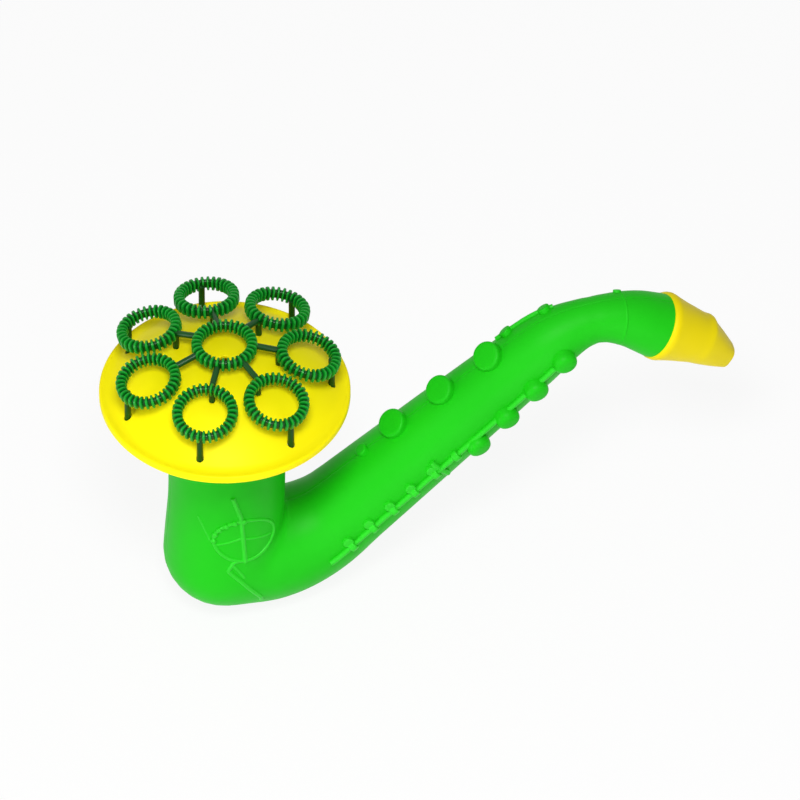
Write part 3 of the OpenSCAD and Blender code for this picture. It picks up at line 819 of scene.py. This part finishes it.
def buildMouthpiece():
    rows = mouth["rim"] + mouth["shank"]
    start, end = np.array(mouth["shank"][-1]), np.array(mouth["beakEnd"])
    for t in np.linspace(0, 1, mouth["beakRows"] + 1)[1:]:
        row = start + (end - start) * t
        row[1:] = start[1:] + (end[1:] - start[1:]) * t ** mouth["beakPower"]
        rows.append(tuple(row))
    skinRows = len(rows)
    rows += mouth["tip"] + mouth["bore"]
    x, z, pitch = onPath(hornLen)[:3]
    forward = np.array([math.cos(pitch), 0, math.sin(pitch)])
    down = np.array([math.sin(pitch), 0, -math.cos(pitch)])
    around, points = mouth["around"], []
    for k, (along, drop, half, wide) in enumerate(rows):
        share = np.interp(along, (start[0], end[0]), (0, 1)) * (half > mouth["squareFrom"])
        power = 1 - mouth["square"] * share
        rest = 0
        if k < skinRows:
            rest = mouth["restH"] * math.exp(-((along - mouth["restAt"]) / mouth["restLen"]) ** 2)
        for a in np.linspace(0, 2 * math.pi, around, endpoint=False):
            up, side = (math.copysign(abs(part) ** power, part) for part in (math.cos(a), math.sin(a)))
            low = half * up - rest * max(0, -math.cos(a)) ** mouth["restPower"]
            points.append(np.array([x, 0, z]) + forward * along
                          + down * (drop + low) + np.array([0, wide * side, 0]))
    piece = newPiece("beakMouthpiece", points, gridFaces(len(rows), around), mouthYellow)
    faceOutwards(piece)
    smoothShade(piece, mouth["smooth"])
    print("mouthpiece faces:", len(piece.data.polygons))
    return piece


mouthpiece = buildMouthpiece()


# Every piece rides on its body and stands for its solids

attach(nearHalf, "horn")
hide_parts("body_half_near")
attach(farHalf, "horn")
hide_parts("body_half_far")
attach(mouthpiece, "mouth")
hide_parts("mouthpiece")
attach(domedPlate, "plate")
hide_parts("bell_plate")
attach(bubbleRings, "ring_head")
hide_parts("ring_centre", *[f"ring_{k + 1}" for k in range(ringHead["count"])])


# Studio: pale floor, soft light from the front and the left, and a long lens

studio = {
    "floorSize": 6.0, "floorDrop": 0.001, "floorPale": 0.9, "floorGlow": 0.9, "ambient": 0.22,
    "turn": 14.5, "tilt": 45.0, "mmPerPixel": 0.42, "originPixel": (226, 545), "imageSize": 800,
    "lens": 1000.0, "sensor": 36.0,
}


def seenDirectly(tree):  # 1 where the camera looks, straight, mirrored or through, and 0 for other light
    rays = addNode(tree, "ShaderNodeLightPath").outputs
    seen = sums(tree, "ADD", rays["Is Camera Ray"], rays["Is Glossy Ray"])
    return sums(tree, "MINIMUM", sums(tree, "ADD", seen, rays["Is Transmission Ray"]), 1.0)


def paleSurface(name):  # white to the camera and to reflections, with the shadow kept on it
    material = bpy.data.materials.new(name)
    material.use_nodes = True
    tree = material.node_tree
    tree.nodes.clear()
    seen = sums(tree, "MULTIPLY", seenDirectly(tree), studio["floorGlow"])
    matt = addNode(tree, "ShaderNodeBsdfDiffuse", {"Color": (*[studio["floorPale"]] * 3, 1)})
    glow = addNode(tree, "ShaderNodeEmission", {"Color": (1, 1, 1, 1), "Strength": 1.0})
    both = addNode(tree, "ShaderNodeMixShader", {0: seen, 1: matt.outputs[0], 2: glow.outputs[0]})
    addNode(tree, "ShaderNodeOutputMaterial", {"Surface": both.outputs[0]})
    return material


def buildFloor():
    low = min(v.co.z for piece in (nearHalf, farHalf) for v in piece.data.vertices) / mm
    half, z = studio["floorSize"] / 2 / mm, low - studio["floorDrop"] / mm
    floor = newPiece("paleFloor", [(-half, -half, z), (half, -half, z), (half, half, z), (-half, half, z)],
                     [(0, 1, 2, 3)], paleSurface("pale floor"))


def buildWorld():
    world = bpy.data.worlds.new("studio white")
    scene.world = world
    world.use_nodes = True
    tree = world.node_tree
    tree.nodes.clear()
    seen = seenDirectly(tree)
    room = addNode(tree, "ShaderNodeBackground", {"Color": (1, 1, 1, 1), "Strength": studio["ambient"]})
    white = addNode(tree, "ShaderNodeBackground", {"Color": (1, 1, 1, 1), "Strength": 1.0})
    both = addNode(tree, "ShaderNodeMixShader", {0: seen, 1: room.outputs[0], 2: white.outputs[0]})
    addNode(tree, "ShaderNodeOutputWorld", {"Surface": both.outputs[0]})


lamps = [  # places and sizes in metres
    {"name": "front light", "place": (-0.16, -0.68, 1.15), "size": 0.3, "watts": 11.6},
    {"name": "low light", "place": (0.02, -1.15, 0.12), "size": 0.6, "watts": 3.6},
    {"name": "side light", "place": (-1.05, -0.35, 0.16), "size": 0.4, "watts": 4.5},
    {"name": "top light", "place": (0.05, 0.05, 1.2), "size": 1.6, "watts": 2.0},
]
lampAim = Vector((0.08, 0, 0.05))


def buildLamps():
    for lamp in lamps:
        light = bpy.data.lights.new(lamp["name"], "AREA")
        light.energy = lamp["watts"]
        light.size = lamp["size"]
        stand = bpy.data.objects.new(lamp["name"], light)
        stand.location = lamp["place"]
        stand.rotation_euler = (lampAim - stand.location).to_track_quat("-Z", "Y").to_euler()
        scene.collection.objects.link(stand)


def buildCamera():
    turn, lift = math.radians(studio["turn"]), math.radians(studio["tilt"])
    right = Vector((math.cos(turn), -math.sin(turn), 0))
    up = Vector((math.sin(turn) * math.sin(lift), math.cos(turn) * math.sin(lift), math.cos(lift)))
    back = Vector((-math.sin(turn) * math.cos(lift), -math.cos(turn) * math.cos(lift), math.sin(lift)))
    scale = studio["mmPerPixel"] * mm
    across, down = (studio["imageSize"] / 2 - pixel for pixel in studio["originPixel"])
    aim = right * across * scale - up * down * scale
    width = studio["imageSize"] * scale
    lens = bpy.data.cameras.new("long lens")
    lens.lens, lens.sensor_width = studio["lens"], studio["sensor"]
    camera = bpy.data.objects.new("camera", lens)
    camera.location = aim + back * (width * studio["lens"] / studio["sensor"])
    camera.rotation_euler = (-back).to_track_quat("-Z", "Y").to_euler()
    scene.collection.objects.link(camera)
    scene.camera = camera


buildFloor()
buildWorld()
buildLamps()
buildCamera()
scene.view_settings.view_transform = "Standard"
print("studio set")

bpy.context.view_layer.update()
